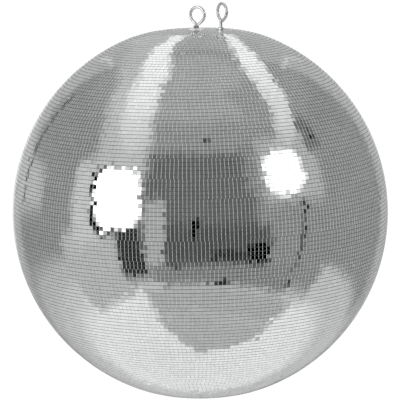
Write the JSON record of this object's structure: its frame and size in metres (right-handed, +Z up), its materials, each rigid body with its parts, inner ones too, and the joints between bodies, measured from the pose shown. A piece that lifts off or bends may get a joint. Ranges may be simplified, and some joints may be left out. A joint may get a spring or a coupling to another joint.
{
  "type": "mirror ball",
  "caption": "Large hanging ball covered in rows of small square glass mirrors, with a hanging eye and a safety eye on its crown.",
  "frame": {"origin": "hanging point: on the ball's axis, level with the middle of the hanging eye's ring", "axes": "+Z up along the ball's axis, out of the crown; the safety eye stands 16 degrees from +X, towards -Y; the hanging eye's ring is turned 30 degrees from the XZ plane, towards -Y at +X"},
  "size_m": [1, 1, 1.0471],
  "materials": {
    "mirror": "silvered flat glass tiles",
    "core": "moulded grey plastic",
    "rivets": "plain aluminium",
    "steel_plate": "zinc plated steel sheet",
    "flange": "bright zinc plated steel",
    "eyebolts": "bright plated steel wire",
    "fixings": "zinc plated steel"
  },
  "bodies": {
    "ball": {"upper_shell": "core", "lower_shell": "core", "joining_band": "core", "band_rivets": "rivets", "pole_plate": "steel_plate", "pole_flange": "flange", "hanging_inner_washer": "fixings", "safety_outer_washer": "fixings", "safety_inner_washer": "fixings", "bottom_pole_mirror": "mirror", "mirror_rows_01": "mirror", "mirror_rows_02": "mirror", "mirror_rows_03": "mirror", "mirror_rows_04": "mirror", "mirror_rows_05": "mirror", "mirror_rows_06": "mirror", "mirror_rows_07": "mirror", "mirror_rows_08": "mirror", "mirror_rows_09": "mirror", "mirror_rows_10": "mirror", "mirror_rows_11": "mirror", "mirror_rows_12": "mirror", "mirror_rows_13": "mirror", "mirror_rows_14": "mirror"},
    "hanging_eye": {"hanging_eyebolt": "eyebolts", "hanging_top_nut": "fixings", "hanging_nut": "fixings", "hanging_lock_nut": "fixings"},
    "safety_eye": {"safety_eyebolt": "eyebolts", "safety_top_nut": "fixings", "safety_nut": "fixings", "safety_lock_nut": "fixings"}
  },
  "joints": [
    {"name": "hanging_eye_turn", "type": "hinge", "parent": "ball", "child": "hanging_eye", "pos_m": [0, 0, -0.03955], "axis": [0, 0, 1], "continuous": true},
    {"name": "safety_eye_turn", "type": "hinge", "parent": "ball", "child": "safety_eye", "pos_m": [0.06434, -0.01845, -0.04095], "axis": [0.0401, -0.0115, 0.9991], "continuous": true}
  ]
}
